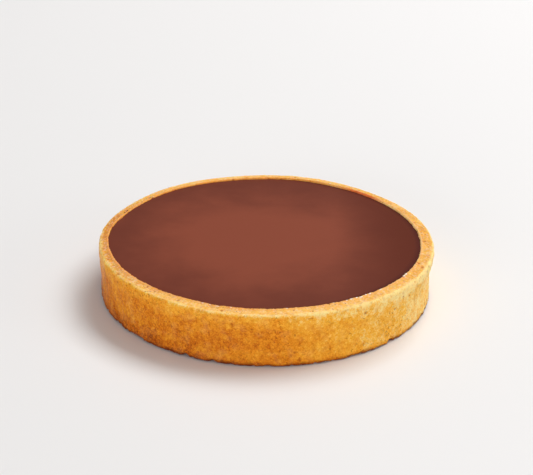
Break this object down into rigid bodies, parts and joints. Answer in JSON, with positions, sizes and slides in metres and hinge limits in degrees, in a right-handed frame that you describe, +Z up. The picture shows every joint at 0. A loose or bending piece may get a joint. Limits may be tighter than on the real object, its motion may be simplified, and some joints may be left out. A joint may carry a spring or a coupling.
{
  "type": "chocolate tart",
  "caption": "Round low tart: a straight-sided sweet pastry wall with a soft shoulder and slight lip, filled level with smooth chocolate ganache.",
  "frame": {"origin": "middle of the tart's outline, at the level it stands on", "axes": "+Z up through the rim; +X towards the side with the lip; -Y is the front"},
  "size_m": [0.1025, 0.1024, 0.0164],
  "materials": {
    "sweet_pastry": "golden baked sweet pastry, fine open crumb with small dark pits, browner at the foot and at -X",
    "ganache": "smooth set milk-brown chocolate ganache, satin sheen"
  },
  "bodies": {
    "root": {"pastry_case": "sweet_pastry", "chocolate_filling": "ganache"}
  },
  "joints": []
}
